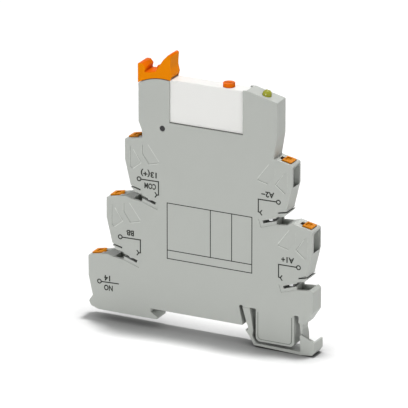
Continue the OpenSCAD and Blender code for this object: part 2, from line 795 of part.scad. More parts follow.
function foot_points() = [
    [arm_foot_x, arm_foot_z, 0],
    [claw_back_x, 0, fine_r],
    [claw_back_x, -claw_z, 0],
    [half_rail - claw_reach, -claw_z, fine_r / 2],
    [half_rail - claw_reach, -claw_z - claw_lip_h, fine_r],
    [claw_low_x, claw_low_z, soft_r],
    [foot_out_x, foot_out_z, soft_r],
    [block_x, -foot_drop, corner_r],
    [block_end_x - block_chamfer, -foot_drop + block_chamfer / 2, corner_r],
    [block_end_x, -foot_drop + block_chamfer * 2, soft_r],
    [block_end_x, block_floor_z, 0],
    [block_x, block_floor_z, 0],
    [block_x, -foot_drop + foot_bar_t, soft_r],
    [foot_in_x, -foot_drop + foot_bar_t + fine_r, corner_r],
    [foot_hollow_x, foot_hollow_z, corner_r],
    [foot_waist_x, foot_waist_z, soft_r],
    [arm_foot_x + arm_foot_w, arm_foot_z, 0]];
module rail_foot() color(grey) {
    centred_slab(half_t) polygon(rounded(foot_points()));
    centred_slab(half_t) polygon(rounded([
        [block_end_x - block_wall, block_floor_z - fine_r, 0], [block_end_x, block_floor_z - fine_r, 0],
        [block_end_x, block_tip_z - soft_r, soft_r], [block_tip_x, block_tip_z, fine_r],
        [block_end_x - block_wall, block_tip_z - fine_r, 0]]));
    slab(-half_t, -half_t + block_plate_y) polygon([
        [block_x, block_floor_z - fine_r], [block_end_x - fine_r, block_floor_z - fine_r],
        [block_end_x - fine_r, block_tip_z - soft_r], [block_tip_x, block_tip_z],
        [block_slope_x, block_slope_z], [block_apex_x, block_apex_z],
        [block_x - fine_r, outer_arm_foot_z]]);
    centred_slab(outer_arm_y) rect(outer_arm_x + outer_arm_lean, block_floor_z - fine_r,
        outer_arm_x + outer_arm_lean + outer_arm_foot_w, outer_arm_foot_z);
}

// Indicator: light pipe with a dome, light source and board in the right tower
lens_r = lens_d / 2;
dome_r = (lens_r * lens_r / lens_dome_h + lens_dome_h) / 2;
module led_lens() color(amber) on_slope(lens_x) translate([0, lens_y, 0]) {
    translate([0, 0, -lens_stem_l - soft_r]) cylinder(r = lens_r, h = lens_stem_l + soft_r + lens_rim_h);
    translate([0, 0, lens_rim_h]) intersection() {
        translate([0, 0, lens_dome_h - dome_r]) sphere(r = dome_r);
        cylinder(r = lens_r, h = lens_dome_h);
    }
}
board_left = relay_right + board_room_wall + slide_gap;
board_right = tower_right - board_room_wall - slide_gap;
board_top = slope_z(lens_x) - board_top_gap;
module circuit_board() color(board_green)
    slab(board_y, board_y + board_t) rect(board_left, board_room_floor, board_right, board_top);
module led_chip() color("white")
    slab(board_y - chip_y, board_y) rect(lens_x - chip_w / 2, board_top - chip_h + soft_r,
        lens_x + chip_w / 2, board_top + soft_r);
module rectifier() color(black)
    slab(board_y - rectifier_d, board_y) rect(board_left + part_in, board_room_floor + rectifier_rise,
        board_left + part_in + rectifier_w, board_room_floor + rectifier_rise + rectifier_h);
module board_resistors() color("#6b5a44")
    for (k = [0:1]) slab(board_y - resistor_d, board_y)
        translate([board_left + part_in, board_room_floor + resistor_rise + k * resistor_step])
            square([resistor_w, resistor_h]);

// Socket contacts: two leaves that grip a pin, on a base
module socket_contact(pin) color(tinned) centred_slab(socket_y) {
    floor_z = relay_z - socket_drop;
    rect(pin - pin_w / 2 - socket_gap - socket_leaf, floor_z,
         pin + pin_w / 2 + socket_gap + socket_leaf, floor_z + socket_base_h);
    for (side = [left, right])
        translate([pin + side * (pin_w / 2 + socket_gap + socket_leaf / 2), floor_z + socket_base_h / 2])
            translate([-socket_leaf / 2, 0]) square([socket_leaf, socket_drop - socket_base_h]);
}
module socket_contact_com() socket_contact(pin_com);
module socket_contact_no() socket_contact(pin_no);
module socket_contact_a1() socket_contact(pin_a1);
module socket_contact_a2() socket_contact(pin_a2);

// Current bars: clamp part under the conductor, fork at the bridge slot, branch to a socket
module bar_clamp(side, i) centred_slab(bar_y) bar_shape(side, i);
module spring_room(side, i) at_channel(side, i) rect(-mouth_l, -channel_half, room_l - bar_t / 2, room_out);
module bar_fork(side, i) {
    centred_slab(bar_web_y) difference() {
        web_shape(side, i);
        spring_room(side, i);
    }
    difference() {
        centred_slab(bar_web_y) difference() {
            tail_shape(side, i, 0);
            spring_room(side, i);
        }
        centred_slab(tine_y) tail_shape(side, i, cut);
    }
}
module bar_branch(side, i, drop, pin) centred_slab(branch_y) branch_shape(side, i, drop, pin, 0);
module low_web_shape(side, i, grow) rect(tail_x(side, i) - tail_w / 2 - grow,
    corner_z(i) + low_branch_z - branch_t / 2 - grow,
    tail_x(side, i) + tail_w / 2 + grow, corner_z(i) + tail_top_z + grow);
module current_bar_l1() color(tinned) {
    bar_clamp(left, 0);
    bar_fork(left, 0);
    bar_branch(left, 0, branch_z, pin_com);
}
module current_bar_l2() color(tinned) {
    bar_clamp(left, 1);
    bar_fork(left, 1);
}
module current_bar_l3() color(tinned) {
    bar_clamp(left, 2);
    centred_slab(bar_web_y) low_web_shape(left, 2, 0);
    bar_branch(left, 2, low_branch_z, pin_no);
}
module current_bar_r1() color(tinned) {
    bar_clamp(right, 0);
    bar_fork(right, 0);
    bar_branch(right, 0, branch_z, pin_a2);
}
module current_bar_r2() color(tinned) {
    bar_clamp(right, 1);
    bar_fork(right, 1);
    bar_branch(right, 1, branch_z, pin_a1);
}

// Clamping spring: leg on the bar's end, loop, and the tongue that presses on the conductor
leaf_path = soft_path([
    [leaf_leg_u, -leaf_foot_w], [leaf_leg_u, leaf_top_w - leaf_shoulder_drop],
    [leaf_leg_u - leaf_shoulder_drop, leaf_top_w], [leaf_back_u, leaf_top_w],
    [leaf_press_u, leaf_press_w], [leaf_press_u + leaf_turn_u, leaf_turn_w],
    [leaf_tip_u, -channel_half + leaf_tip_gap]], leaf_bend_r);
module clamp_spring(side, i) color(steel) centred_slab(spring_y)
    at_channel(side, i) polygon(strip(leaf_path, leaf_t));
module clamp_spring_l1() clamp_spring(left, 0);
module clamp_spring_l2() clamp_spring(left, 1);
module clamp_spring_l3() clamp_spring(left, 2);
module clamp_spring_r1() clamp_spring(right, 0);
module clamp_spring_r2() clamp_spring(right, 1);

// Release button: slanted stem with a shoulder under the housing's ledge
button_mid_in = (step_w - ramp_z) / 2 - soft_r;
module release_button(side, i) color(orange) difference() {
    centred_slab(button_l / 2) intersection() {
        at_channel(side, i) {
            rect(-button_top_u, button_in, button_foot_u, button_out);
            rect(ledge_u + shoulder_gap_u, shoulder_in, button_foot_u, button_in + fine_r);
        }
        at_level(side, i) polygon([
            [-level_wall_h, -level_wall_h * tan(top_tilt) + button_proud],
            [level_drop, level_drop * tan(top_tilt) + button_proud],
            [level_drop, -level_drop], [-level_wall_h, -level_drop]]);
    }
    centred_slab(recess_y) at_level(side, i)
        translate([button_mid_in - recess_w / 2, button_mid_in * tan(top_tilt) + button_proud])
            rotate(top_tilt) translate([0, -recess_h]) square([recess_w, recess_h + cut]);
}
module release_button_l1() release_button(left, 0);
module release_button_l2() release_button(left, 1);
module release_button_l3() release_button(left, 2);
module release_button_r1() release_button(right, 0);
module release_button_r2() release_button(right, 1);

// Relay: case, base and pins
module relay_case() color(white) difference() {
    centred_slab(relay_t / 2) rect(relay_left, relay_z + case_lift, relay_right, relay_top);
    centred_slab(relay_in_y) rect(relay_left + relay_wall, relay_z - cut,
        relay_right - relay_wall, relay_top - relay_wall);
    translate([test_x, 0, relay_top - relay_wall - slide_gap])
        cylinder(r = test_d / 2 + run_gap, h = relay_wall + cut);
}
pins = [pin_nc, pin_com, pin_no, pin_a1, pin_a2];
module relay_base() color(black) difference() {
    centred_slab(relay_in_y) rect(relay_left + relay_wall, relay_z, relay_right - relay_wall, base_top);
    centred_slab(pin_d / 2) for (p = pins) rect(p - pin_w / 2, relay_z - cut, p + pin_w / 2, base_top + cut);
}
module relay_pins() color(tinned) centred_slab(pin_d / 2)
    for (p = pins) rect(p - pin_w / 2, relay_z - pin_l, p + pin_w / 2, base_top);

bobbin_z = base_top + yoke_t;
bobbin_top = bobbin_z + bobbin_h;
core_z = bobbin_z + bobbin_h / 2;
module test_button() color(orange) translate([test_x, 0, 0]) difference() {
    union() {
        translate([0, 0, relay_top - relay_wall + slide_gap])
            cylinder(r = test_d / 2, h = relay_wall - slide_gap + test_h);
        translate([0, 0, bobbin_top + bow_rise + bow_t + plunger_gap])
            cylinder(r = plunger_r, h = relay_top - bobbin_top - bow_rise - bow_t - plunger_gap);
    }
    translate([-test_d, -fine_r, relay_top + test_h - soft_r]) cube([test_d * 2, fine_r * 2, cut]);
}
// Bowed return spring of the test button, on the bobbin's flanges
bow_flat_rise = 0.8;
bow_rise = test_travel + bow_flat_rise;
bow_mid_x = (coil_left + coil_right) / 2;
bow_half = (coil_right - coil_left - flange_w) / 2;
bow_path = [for (k = [-6:6]) [bow_mid_x + bow_half * k / 6,
    bobbin_top + bow_t / 2 + bow_rise * cos(90 * k / 6)]];
module test_spring() color(steel) centred_slab(bow_y) polygon(strip(bow_path, bow_t));

// Winding sections are flat ovals across Y and Z, run along X
module oval(y, z) {
    square([y * 2, z - y * 2], center = true);
    for (end = [-1, 1]) translate([0, end * (z / 2 - y)]) circle(r = y);
}
module along_x(x0, x1) translate([x0, 0, core_z]) rotate([90, 0, 90])
    linear_extrude(height = x1 - x0) children();
module relay_bobbin() color("#3a3f46") {
    for (x = [coil_left, coil_right - flange_w]) along_x(x, x + flange_w) difference() {
        square([bobbin_y * 2, bobbin_h], center = true);
        square([core_y * 2, core_h], center = true);
    }
    along_x(coil_left, coil_right) difference() {
        square([(core_y + tube_t) * 2, core_h + tube_t * 2], center = true);
        square([core_y * 2, core_h], center = true);
    }
}
module relay_coil() color(copper) along_x(coil_left + flange_w, coil_right - flange_w) difference() {
    oval(winding_y, winding_h);
    square([(core_y + tube_t) * 2, core_h + tube_t * 2], center = true);
}
module relay_core() color(steel)
    centred_slab(core_y) rect(coil_left - core_out, core_z - core_h / 2, yoke_wall_x, core_z + core_h / 2);
yoke_left = coil_left - core_out - armature_gap - armature_t / 2;
module relay_yoke() color(steel) centred_slab(yoke_y) {
    rect(yoke_left, base_top, yoke_wall_x + yoke_t, bobbin_z);
    rect(yoke_wall_x, base_top, yoke_wall_x + yoke_t, bobbin_top);
}
// Armature: stands on the yoke's edge and is pulled to the core
armature_right = coil_left - core_out - armature_gap;
module relay_armature() color(steel) centred_slab(armature_y) {
    rect(armature_right - armature_t, bobbin_z + run_gap, armature_right, bobbin_z + armature_h);
}
card_z = bobbin_z + armature_h - card_h - card_drop;
module actuator_card() color(amber) difference() {
    centred_slab(card_y) rect(pin_com - card_over, card_z, armature_right - armature_t, card_z + card_h);
    centred_slab(neck_y + run_gap) rect(pin_com - blade_t / 2 - run_gap, card_z - cut,
        pin_com + blade_t / 2 + run_gap, card_z + card_h + cut);
}
blade_low = card_z - blade_low_gap;
rivet_z = blade_low - rivet_drop;
module blade(x, top) centred_slab(blade_y) rect(x - blade_t / 2, base_top, x + blade_t / 2, top);
module rivet(x0, x1) translate([x0, 0, rivet_z]) rotate([0, 90, 0]) cylinder(r = rivet_r, h = x1 - x0);
blade_no = pin_com + blade_step;
module contact_spring_com() color(copper) {
    centred_slab(neck_y) rect(pin_com - blade_t / 2, base_top, pin_com + blade_t / 2,
        card_z + card_h + com_top_over);
    rivet(pin_com - blade_t / 2 - (blade_step - blade_t) / 2,
          pin_com + (blade_step - blade_t - contact_gap) / 2);
}
module contact_blade_no() color(copper) {
    blade(blade_no, blade_low);
    centred_slab(blade_y) rect(blade_no - blade_t / 2, base_top, pin_no + pin_w / 2, base_top + foot_strip_h);
    rivet(pin_com + (blade_step - blade_t - contact_gap) / 2 + contact_gap, blade_no);
}
module contact_blade_nc() color(copper) {
    blade(pin_nc, blade_low);
    rivet(pin_nc, pin_com - blade_t / 2 - (blade_step - blade_t) / 2);
}

housing_shell();
side_cover();
lever_pivot_pin();
ejector_lever();
foot_arm_inner();
foot_arm_outer();
rail_foot();
led_lens();
led_chip();
circuit_board();
rectifier();
board_resistors();
socket_contact_com();
socket_contact_no();
socket_contact_a1();
socket_contact_a2();
current_bar_l1();
current_bar_l2();
current_bar_l3();
current_bar_r1();
current_bar_r2();
clamp_spring_l1();
clamp_spring_l2();
clamp_spring_l3();
clamp_spring_r1();
clamp_spring_r2();
release_button_l1();
release_button_l2();
release_button_l3();
release_button_r1();
release_button_r2();
relay_case();
relay_base();
relay_pins();
test_button();
test_spring();
relay_bobbin();
relay_coil();
relay_core();
relay_yoke();
relay_armature();
actuator_card();
contact_spring_com();
contact_blade_no();
contact_blade_nc();
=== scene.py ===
"""Looks of the slim interface relay: mouldings, metals, prints, floor, lamps and camera."""
import bpy
import bmesh
import math
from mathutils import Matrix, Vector


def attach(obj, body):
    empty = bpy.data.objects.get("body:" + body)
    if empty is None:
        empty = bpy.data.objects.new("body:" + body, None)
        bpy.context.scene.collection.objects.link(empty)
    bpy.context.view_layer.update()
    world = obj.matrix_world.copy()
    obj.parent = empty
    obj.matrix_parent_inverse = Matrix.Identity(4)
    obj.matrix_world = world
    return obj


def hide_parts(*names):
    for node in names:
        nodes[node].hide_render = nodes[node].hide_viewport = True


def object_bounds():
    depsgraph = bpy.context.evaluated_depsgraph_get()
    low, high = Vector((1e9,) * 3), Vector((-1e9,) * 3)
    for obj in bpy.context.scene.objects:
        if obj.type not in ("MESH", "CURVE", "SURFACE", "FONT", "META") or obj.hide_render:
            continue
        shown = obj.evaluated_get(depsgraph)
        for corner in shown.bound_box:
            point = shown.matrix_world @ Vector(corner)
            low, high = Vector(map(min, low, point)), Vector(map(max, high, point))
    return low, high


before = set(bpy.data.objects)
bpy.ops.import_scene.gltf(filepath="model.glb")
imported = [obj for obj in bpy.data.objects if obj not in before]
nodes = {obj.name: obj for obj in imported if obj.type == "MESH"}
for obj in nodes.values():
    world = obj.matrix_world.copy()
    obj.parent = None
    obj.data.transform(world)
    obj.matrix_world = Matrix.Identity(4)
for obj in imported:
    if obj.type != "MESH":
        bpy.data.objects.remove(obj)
cad_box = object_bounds()
scene = bpy.context.scene
HOUSING = "housing"
# Lengths are in millimetres, apart from the lamps and the camera, and MM brings them to metres
MM = 0.001
# The printed face lies at y = -HALF_T and the outer side of the cover at y = HALF_T
HALF_T = round(cad_box[1][1] / MM, 2)


# Nodes of the materials
WHITE = (1.0, 1.0, 1.0, 1.0)
# The colour sockets of a Mix node, which bear the same names as its sockets for numbers
MIX_FACTOR, MIX_FIRST, MIX_SECOND, MIX_RESULT = 0, 6, 7, 2
# How far the normal of a face points up where its colour begins to change to the painted shade of faces
# that look up, and where it has changed
LEVEL_FROM, LEVEL_TO = 0.15, 0.85


def linear(rgb):
    """sRGB values of 0 to 255 as a linear colour."""
    def one(v):
        v = v / 255
        return v / 12.92 if v <= 0.04045 else ((v + 0.055) / 1.055) ** 2.4
    return tuple(one(v) for v in rgb) + (1.0,)


def shade(colour, factor):
    """The colour, darker or lighter by a factor."""
    return tuple(min(1.0, c * factor) for c in colour[:3]) + (1.0,)


def emptied(owner):
    """The node tree of a material or of the world, with nothing in it."""
    owner.use_nodes = True
    owner.node_tree.nodes.clear()
    return owner.node_tree


def place(tree, kind, **values):
    """A new node, with values for the sockets and settings of these names."""
    node = tree.nodes.new(kind)
    for key, value in values.items():
        if key in node.inputs:
            node.inputs[key].default_value = value
        else:
            setattr(node, key, value)
    return node


def finish(name, **values):
    """A new material, its node tree and its shader."""
    made = bpy.data.materials.new(name)
    tree = emptied(made)
    shader = place(tree, "ShaderNodeBsdfPrincipled", **values)
    out = place(tree, "ShaderNodeOutputMaterial")
    tree.links.new(shader.outputs["BSDF"], out.inputs["Surface"])
    return made, tree, shader


def lay_out(tree, *patterns):
    """Ties patterns to the piece's own coordinates."""
    where = place(tree, "ShaderNodeTexCoord")
    for pattern in patterns:
        tree.links.new(where.outputs["Object"], pattern.inputs["Vector"])


def mixed(tree, factor, first, second, blend_type="MIX"):
    """A mix of two colours; the factor and each colour are values or another node's sockets."""
    mix = place(tree, "ShaderNodeMix", data_type="RGBA", blend_type=blend_type)
    for socket, value in ((MIX_FACTOR, factor), (MIX_FIRST, first), (MIX_SECOND, second)):
        if isinstance(value, bpy.types.NodeSocket):
            tree.links.new(value, mix.inputs[socket])
        else:
            mix.inputs[socket].default_value = value
    return mix.outputs[MIX_RESULT]


def ranged(tree, value, low=0.0, high=1.0, to_low=0.0, to_high=1.0):
    """A value between low and high, brought between to_low and to_high."""
    limits = {"From Min": low, "From Max": high, "To Min": to_low, "To Max": to_high}
    span = place(tree, "ShaderNodeMapRange", **limits)
    tree.links.new(value, span.inputs["Value"])
    return span.outputs["Result"]


def vary_gloss(tree, shader, pattern, roughness, stray):
    """Lets the roughness stray from its value to either side, as a pattern goes."""
    rough = ranged(tree, pattern, to_low=roughness + stray[0], to_high=roughness + stray[1])
    tree.links.new(rough, shader.inputs["Roughness"])


def raise_relief(tree, shader, pattern, strength, rise):
    """Relief too fine to be modelled, which shows in the light alone."""
    bump = place(tree, "ShaderNodeBump", Strength=strength, Distance=rise * MM)
    tree.links.new(pattern, bump.inputs["Height"])
    tree.links.new(bump.outputs["Normal"], shader.inputs["Normal"])


def painted_top_shade(tree, upright, level):
    """Painted shade: a colour that changes from upright faces to those that look up."""
    facing = place(tree, "ShaderNodeNewGeometry")
    parts = place(tree, "ShaderNodeSeparateXYZ")
    tree.links.new(facing.outputs["Normal"], parts.inputs["Vector"])
    return mixed(tree, ranged(tree, parts.outputs["Z"], LEVEL_FROM, LEVEL_TO), upright, level)


def painted_crevice_shade(tree, colour, reach, depth, open_from):
    """The colour, darker in gaps and corners: painted shade, where a moulding gets little light."""
    open_air = place(tree, "ShaderNodeAmbientOcclusion", samples=8, Distance=reach * MM)
    tone = ranged(tree, open_air.outputs["AO"], high=open_from, to_low=depth)
    return mixed(tree, 1.0, colour, tone, "MULTIPLY")


# Materials

# The size of a moulding's grain, and how far its roughness strays
MOULD_GRAIN, MOULD_STRAY = 0.12, (-0.05, 0.07)
# How the lines of rolled strip are squeezed, how strong they are, and how far its roughness strays
STRIP_SQUEEZE, STRIP_STREAKS, STRIP_STRAY = (1, 1, 14), 0.10, (-0.07, 0.1)


def moulded(name, rgb, roughness=0.45, cloud=0.05, grain=0.10, specular=0.4,
            top_shade_rgb=None, crevice_shade_reach=None, crevice_shade_tone=0.3, open_from=1.0):
    """Injection-moulded plastic: slow clouding of the colour and a fine eroded grain, with painted
    shade in crevices and on faces that look up where asked.
    """
    made, tree, shader = finish(name, **{"Specular IOR Level": specular, "IOR": 1.5})
    clouds = place(tree, "ShaderNodeTexNoise", Scale=70.0, Detail=2.0, Roughness=0.5)
    fine = place(tree, "ShaderNodeTexNoise", Scale=1 / (MOULD_GRAIN * MM), Detail=3.0, Roughness=0.6)
    lay_out(tree, clouds, fine)
    colour = linear(rgb)
    coat = mixed(tree, clouds.outputs["Fac"], shade(colour, 1 - cloud), shade(colour, 1 + cloud))
    if top_shade_rgb:
        coat = painted_top_shade(tree, coat, linear(top_shade_rgb))
    if crevice_shade_reach:
        coat = painted_crevice_shade(tree, coat, crevice_shade_reach, crevice_shade_tone, open_from)
    tree.links.new(coat, shader.inputs["Base Color"])
    vary_gloss(tree, shader, fine.outputs["Fac"], roughness, MOULD_STRAY)
    raise_relief(tree, shader, fine.outputs["Fac"], strength=grain, rise=0.02)
    return made


def rolled_metal(name, rgb, roughness):
    """Stamped strip: fine rolling lines that streak its colour and gloss."""
    made, tree, shader = finish(name, Metallic=1.0)
    squeeze = place(tree, "ShaderNodeMapping", Scale=STRIP_SQUEEZE)
    lines = place(tree, "ShaderNodeTexNoise", Scale=900.0, Detail=3.0, Roughness=0.6)
    lay_out(tree, squeeze)
    tree.links.new(squeeze.outputs["Vector"], lines.inputs["Vector"])
    colour = linear(rgb)
    dark, light = shade(colour, 1 - STRIP_STREAKS), shade(colour, 1 + STRIP_STREAKS)
    tree.links.new(mixed(tree, lines.outputs["Fac"], dark, light), shader.inputs["Base Color"])
    vary_gloss(tree, shader, lines.outputs["Fac"], roughness, STRIP_STRAY)
    return made


def wound_wire(name, rgb):
    """Enamelled wire, wound round X: one dark line between each turn."""
    made, tree, shader = finish(name, **{"Metallic": 0.6, "Roughness": 0.32, "Coat Weight": 0.4})
    turns = place(tree, "ShaderNodeTexWave", Scale=2600.0, Distortion=0.3)
    lay_out(tree, turns)
    colour = linear(rgb)
    coat = mixed(tree, turns.outputs["Fac"], shade(colour, 0.35), colour)
    tree.links.new(coat, shader.inputs["Base Color"])
    raise_relief(tree, shader, turns.outputs["Fac"], strength=0.5, rise=0.04)
    return made


def tinted_lens(name, rgb):
    """Clear tinted plastic of the indicator, faintly clouded inside."""
    made, tree, shader = finish(name, **{"Roughness": 0.12, "Transmission Weight": 0.35, "IOR": 1.49})
    clouds = place(tree, "ShaderNodeTexNoise", Scale=500.0, Detail=2.0)
    lay_out(tree, clouds)
    colour = linear(rgb)
    coat = mixed(tree, clouds.outputs["Fac"], shade(colour, 0.8), shade(colour, 1.15))
    tree.links.new(coat, shader.inputs["Base Color"])
    return made


def ink_and_painted_light(name, rgb):
    """Pad-printed ink, a little uneven in its cover; the same flat finish carries the painted shade and
    painted highlight lines on the face.
    """
    made, tree, shader = finish(name, Roughness=0.6)
    cover = place(tree, "ShaderNodeTexNoise", Scale=1800.0, Detail=2.0)
    lay_out(tree, cover)
    colour = linear(rgb)
    coat = mixed(tree, cover.outputs["Fac"], colour, shade(colour, 1.5))
    tree.links.new(coat, shader.inputs["Base Color"])
    return made


# Painted shade darkens the crevices of the grey housing and of the orange lever and buttons
housing_grey = moulded("housing_grey", (175, 178, 173), roughness=0.5, cloud=0.02,
                       crevice_shade_reach=2.4, crevice_shade_tone=0.12, open_from=0.6)
# Faces of the lever that look up get a painted shade, darker and redder
lever_orange = moulded("lever_orange", (230, 132, 0), roughness=0.5, cloud=0.05, specular=0.03,
                       top_shade_rgb=(226, 102, 0), crevice_shade_reach=1.0, crevice_shade_tone=0.5)
button_orange = moulded("button_orange", (212, 130, 22), roughness=0.5, cloud=0.06, specular=0.03,
                        crevice_shade_reach=0.7, crevice_shade_tone=0.3)
test_orange = moulded("test_orange", (226, 106, 8), roughness=0.5, cloud=0.04, specular=0.03,
                      crevice_shade_reach=0.5, crevice_shade_tone=0.1)
relay_white = moulded("relay_white", (229, 229, 226), roughness=0.38, cloud=0.01, grain=0.06)
bobbin_dark = moulded("bobbin_dark", (58, 63, 70), roughness=0.5)
card_amber = moulded("card_amber", (190, 150, 80), roughness=0.45)
body_black = moulded("body_black", (26, 26, 28), roughness=0.4)
board_green = moulded("board_green", (38, 92, 58), roughness=0.35, cloud=0.12, specular=0.6)
strip_copper = rolled_metal("strip_copper", (206, 142, 104), roughness=0.3)
strip_tinned = rolled_metal("strip_tinned", (200, 201, 202), roughness=0.32)
spring_steel = rolled_metal("spring_steel", (170, 173, 178), roughness=0.28)
soft_iron = rolled_metal("soft_iron", (150, 152, 155), roughness=0.4)
coil_wire = wound_wire("coil_wire", (176, 92, 46))
lens_amber = tinted_lens("lens_amber", (178, 180, 16))
print_ink = ink_and_painted_light("print_ink", (22, 25, 18))
# A dark line of painted shade along the groove of the tongue
groove_shade = ink_and_painted_light("groove_shade", (96, 100, 94))
# Lines of painted highlight and painted shade for the rims of the bays
rim_highlight = ink_and_painted_light("rim_highlight", (182, 185, 180))
rim_shade = ink_and_painted_light("rim_shade", (163, 166, 161))


# The finish of each CAD node, by the start of its name
FINISHES = {
    "housing_shell": housing_grey,
    "side_cover": housing_grey,
    "foot_arm": housing_grey,
    "rail_foot": housing_grey,
    "ejector_lever": lever_orange,
    "lever_pivot_pin": body_black,
    "release_button": button_orange,
    "clamp_spring": spring_steel,
    "current_bar": strip_tinned,
    "socket_contact": strip_tinned,
    "relay_case": relay_white,
    "relay_base": body_black,
    "relay_pins": strip_tinned,
    "relay_bobbin": bobbin_dark,
    "relay_coil": coil_wire,
    "relay_core": soft_iron,
    "relay_yoke": soft_iron,
    "relay_armature": soft_iron,
    "actuator_card": card_amber,
    "contact_": strip_copper,
    "test_button": test_orange,
    "test_spring": spring_steel,
    "led_lens": lens_amber,
    "led_chip": relay_white,
    "circuit_board": board_green,
    "rectifier": body_black,
    "board_resistors": body_black,
}
for name, node in nodes.items():
    node.data.materials.clear()
    node.data.materials.append(next(FINISHES[start] for start in FINISHES if name.startswith(start)))


# Modelling helpers
def only(obj):
    """Selects this object alone and makes it the active one."""
    bpy.ops.object.select_all(action="DESELECT")
    obj.select_set(True)
    bpy.context.view_layer.objects.active = obj


def settle(obj):
    """Applies the object's place, turn and size to its mesh."""
    only(obj)
    bpy.ops.object.transform_apply(location=True, rotation=True, scale=True)


# Mouldings with rounded edges

# Corners this close are one, before the bevel and after it
SAME_POINT, SAME_AFTER_BEVEL = 0.002, 0.03
# Faces that meet at less than this are one, and from EDGE_ANGLE on their edge may be bevelled
FLAT_ANGLE, EDGE_ANGLE = math.radians(1.0), math.radians(30)
SMOOTH_ANGLE = math.radians(35)
# A bevelled edge needs faces that reach this many times its width
FACE_WIDTHS = 3
# Faces above this many square millimetres stay flat
FLAT_FROM = 2.5


def reach_from(edge, face):
    """How far a face reaches from one of its edges."""
    start = edge.verts[0].co
    along = (edge.verts[1].co - start).normalized()
    return max((v.co - start).cross(along).length for v in face.verts) / MM


def edge_softened(name, node, pick, width, segments=2):
    """A copy of a CAD node with clean faces and its picked edges bevelled."""
    piece = nodes[node].copy()
    piece.data = nodes[node].data.copy()
    piece.name = name
    piece.data.name = name
    scene.collection.objects.link(piece)
    piece.parent = None
    only(piece)
    bpy.ops.object.mode_set(mode="EDIT")
    bpy.ops.mesh.select_all(action="SELECT")
    bpy.ops.mesh.remove_doubles(threshold=SAME_POINT * MM)
    bpy.ops.mesh.dissolve_limited(angle_limit=FLAT_ANGLE)
    bpy.ops.mesh.select_all(action="DESELECT")
    bpy.ops.mesh.select_mode(type="EDGE")
    shape = bmesh.from_edit_mesh(piece.data)
    for edge in shape.edges:
        if len(edge.link_faces) == 2 and edge.calc_face_angle(0) > EDGE_ANGLE:
            a, b = (v.co / MM for v in edge.verts)
            roomy = all(reach_from(edge, face) > width * FACE_WIDTHS for face in edge.link_faces)
            edge.select_set(pick(a, b) and roomy)
    shape.select_flush_mode()
    bmesh.update_edit_mesh(piece.data)
    bpy.ops.mesh.bevel(offset=width * MM, segments=segments, affect="EDGES", clamp_overlap=False)
    bpy.ops.mesh.select_all(action="SELECT")
    bpy.ops.mesh.remove_doubles(threshold=SAME_AFTER_BEVEL * MM)
    bpy.ops.object.mode_set(mode="OBJECT")
    bpy.ops.object.shade_smooth_by_angle(angle=SMOOTH_ANGLE)
    for face in piece.data.polygons:
        if face.area > FLAT_FROM * MM ** 2:
            face.use_smooth = False
    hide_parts(node)
    return piece


# An edge this close to a plane lies in it
SLACK = 0.02
# Half the lever's thickness, and the height from which its edges are rounded
LEVER_SIDE, LEVER_EDGES_FROM = 3.05, 70
# The case's upper edges lie beyond this y and above this z, and its upright ones rise by more than this
CASE_SIDE_FROM, CASE_EDGES_FROM, CASE_UPRIGHT_FROM = 2, 64.5, 1


def in_sides(a, b, side):
    """Whether the edge from a to b lies in one of the two sides, this far from the middle."""
    return abs(abs(a.y) - side) < SLACK and abs(a.y - b.y) < SLACK / 2


def both_faces(a, b):
    return in_sides(a, b, HALF_T)


def cover_side(a, b):
    return abs(a.y - HALF_T) < SLACK and abs(b.y - HALF_T) < SLACK


def lever_sides(a, b):
    return in_sides(a, b, LEVER_SIDE) and max(a.z, b.z) > LEVER_EDGES_FROM


def case_outside(a, b):
    upper = max(abs(a.y), abs(b.y)) > CASE_SIDE_FROM and min(a.z, b.z) > CASE_EDGES_FROM
    return upper or abs(a.z - b.z) > CASE_UPRIGHT_FROM


shell = edge_softened("shell_moulding", "housing_shell", both_faces, width=0.14)
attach(shell, HOUSING)
cover = edge_softened("cover_moulding", "side_cover", cover_side, width=0.14)
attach(cover, HOUSING)
foot = edge_softened("foot_moulding", "rail_foot", both_faces, width=0.12)
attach(foot, "foot")
lever = edge_softened("lever_moulding", "ejector_lever", lever_sides, width=0.14, segments=3)
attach(lever, "lever")
case = edge_softened("case_moulding", "relay_case", case_outside, width=0.2, segments=3)
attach(case, "relay")

# The head of the lever is a little taller, because the plain camera shows its back edges low
HEAD_FROM, HEAD_STRETCH = 80.5 * MM, 1.1
for corner in lever.data.vertices:
    if corner.co.z > HEAD_FROM:
        corner.co.z = HEAD_FROM + (corner.co.z - HEAD_FROM) * HEAD_STRETCH
# The rim of the case reaches nearly down to the bay
RIM_BELOW, RIM_DROP = 65.2 * MM, 0.36 * MM
for corner in case.data.vertices:
    if corner.co.z < RIM_BELOW:
        corner.co.z -= RIM_DROP


# Lines, rings and words on the face

# How far print stands proud of the face, and the width of a line
INK_SKIN, INK_LINE = 0.02, 0.4
RING_OUTER, RING_INNER = 0.86, 0.46
# Where the lead of a terminal's symbol starts, from the middle of its ring
LEAD_FROM = 0.7
# How far each part of the fork goes inwards, how far its neck drops, and how far its prongs spread
FORK_STEP, FORK_DROP, FORK_SPREAD = 0.6, 0.15, 0.75


def bar_on_face(name, start, end, width, skin=INK_SKIN):
    """A straight line on the face between two points, each given as x and z."""
    (x0, z0), (x1, z1) = start, end
    middle = ((x0 + x1) / 2 * MM, -HALF_T * MM, (z0 + z1) / 2 * MM)
    bpy.ops.mesh.primitive_cube_add(size=1, location=middle)
    line = bpy.context.object
    line.name = name
    length = math.hypot(x1 - x0, z1 - z0) + width
    line.scale = (length * MM, skin * 2 * MM, width * MM)
    line.rotation_euler = (0, -math.atan2(z1 - z0, x1 - x0), 0)
    settle(line)
    return line


